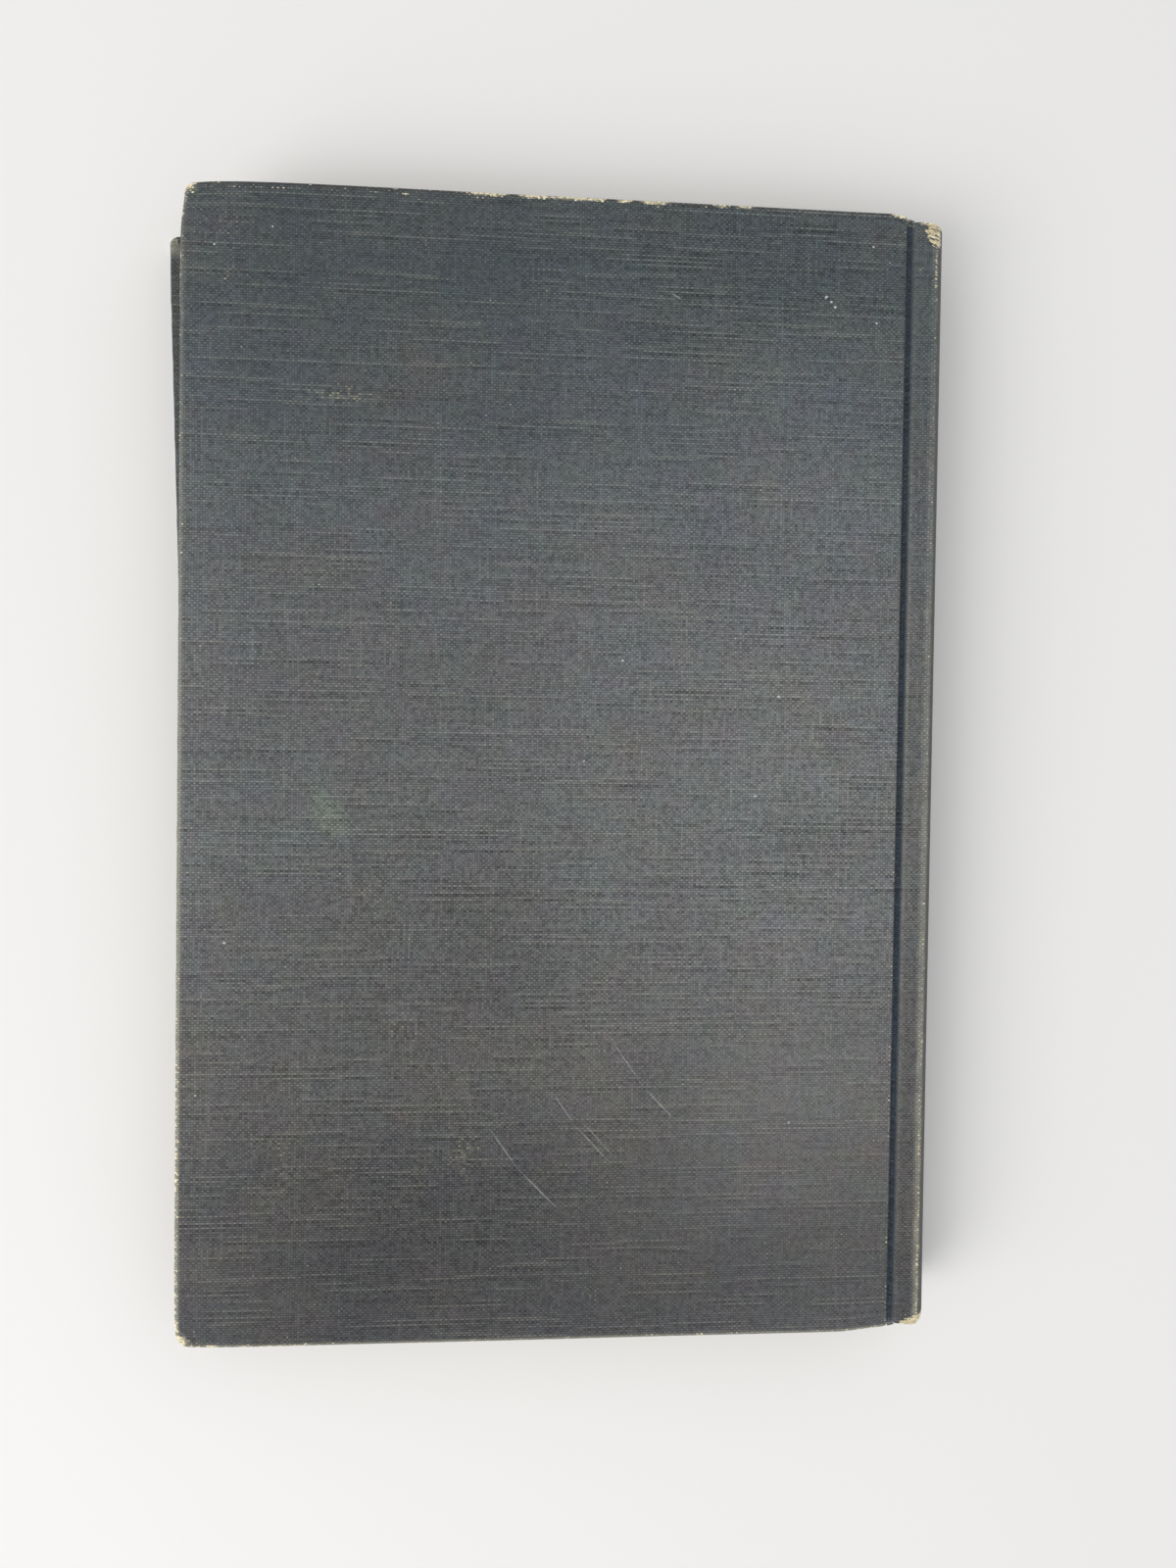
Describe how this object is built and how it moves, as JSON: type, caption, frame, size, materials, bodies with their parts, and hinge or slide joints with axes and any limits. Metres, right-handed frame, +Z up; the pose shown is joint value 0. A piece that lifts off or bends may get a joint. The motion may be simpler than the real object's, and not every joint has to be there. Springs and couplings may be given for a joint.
{
  "type": "hardback book",
  "caption": "Worn cloth-bound hardback with a round back and grooved joints; both covers swing open on the spine and the pages stay one block.",
  "frame": {"origin": "below the middle of the book's bounding box, on the plane that it lies on", "axes": "+X towards the spine, +Y towards the head, +Z up from the front cover to the back cover"},
  "size_m": [0.156, 0.2277, 0.0181],
  "materials": {
    "book_cloth": "worn linen-weave book cloth, navy-grey, faded to warm grey",
    "boards": "matte strawboard",
    "pages": "aged uncoated book paper",
    "endpapers": "aged uncoated endpaper",
    "mull": "open starched gauze",
    "lining": "brown lining paper",
    "bands": "cotton head and tail bands"
  },
  "bodies": {
    "text_block": {"pages": "pages", "back_flyleaf": "endpapers", "front_flyleaf": "endpapers", "mull": "mull", "spine_lining": "lining", "headband": "bands", "tailband": "bands", "spine_inlay": "boards", "spine_cloth": "book_cloth"},
    "back_cover": {"back_board": "boards", "back_cloth": "book_cloth", "back_pastedown": "endpapers"},
    "front_cover": {"front_board": "boards", "front_cloth": "book_cloth", "front_pastedown": "endpapers"}
  },
  "joints": [
    {"name": "back_cover_hinge", "type": "hinge", "parent": "text_block", "child": "back_cover", "pos_m": [0.06922, 0.00225, 0.01825], "axis": [0, 1, 0], "range_deg": [0, 180]},
    {"name": "front_cover_hinge", "type": "hinge", "parent": "text_block", "child": "front_cover", "pos_m": [0.06655, 0.00205, -0.00015], "axis": [0.0314, -0.9995, 0], "range_deg": [0, 180]}
  ]
}
